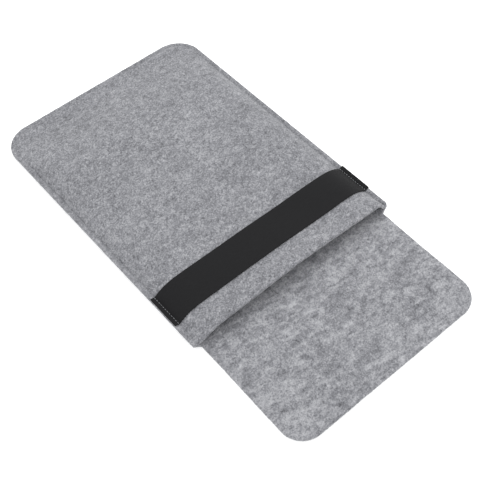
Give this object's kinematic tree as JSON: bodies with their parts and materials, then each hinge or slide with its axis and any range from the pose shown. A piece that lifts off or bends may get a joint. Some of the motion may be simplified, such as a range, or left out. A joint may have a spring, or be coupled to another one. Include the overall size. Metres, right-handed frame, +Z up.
{
  "type": "laptop sleeve",
  "caption": "Flat felt envelope sleeve: a pocket sewn on three sides, a fold-over flap at the open short side, and a broad elastic band across the front that holds the flap shut.",
  "frame": {"origin": "under the middle of the opened-out sleeve, on the surface that it lies on", "axes": "+X across the sleeve, to the right when it is seen from the flap; +Y along it, from the flap's free end to the closed end; +Z up"},
  "size_m": [0.243, 0.464, 0.0215],
  "materials": {
    "felt": "matt pressed felt, mottled grey",
    "elastic": "matt woven elastic, black",
    "thread": "spun sewing thread, light grey"
  },
  "bodies": {
    "pocket": {"back_panel": "felt", "front_panel": "felt", "band_end_left": "elastic", "band_end_right": "elastic", "needle_thread_left": "thread", "needle_thread_right": "thread", "needle_thread_end": "thread", "bobbin_thread_left": "thread", "bobbin_thread_right": "thread", "bobbin_thread_end": "thread", "band_stitches_left": "thread", "band_stitches_right": "thread"},
    "spine": {"crease_strip": "felt"},
    "flap": {"flap": "felt"},
    "band_span": {"band": "elastic"}
  },
  "joints": [
    {"name": "mouth_crease", "type": "hinge", "parent": "pocket", "child": "spine", "pos_m": [0, -0.103, 0.003], "axis": [-1, 0, 0], "range_deg": [0, 90]},
    {"name": "flap_crease", "type": "hinge", "parent": "spine", "child": "flap", "pos_m": [0, -0.122, 0.003], "axis": [-1, 0, 0], "range_deg": [0, 90]},
    {"name": "band_lift", "type": "slide", "parent": "pocket", "child": "band_span", "axis": [0, 0, 1], "range_m": [0, 0.017], "stiffness_N_per_m": 150}
  ]
}
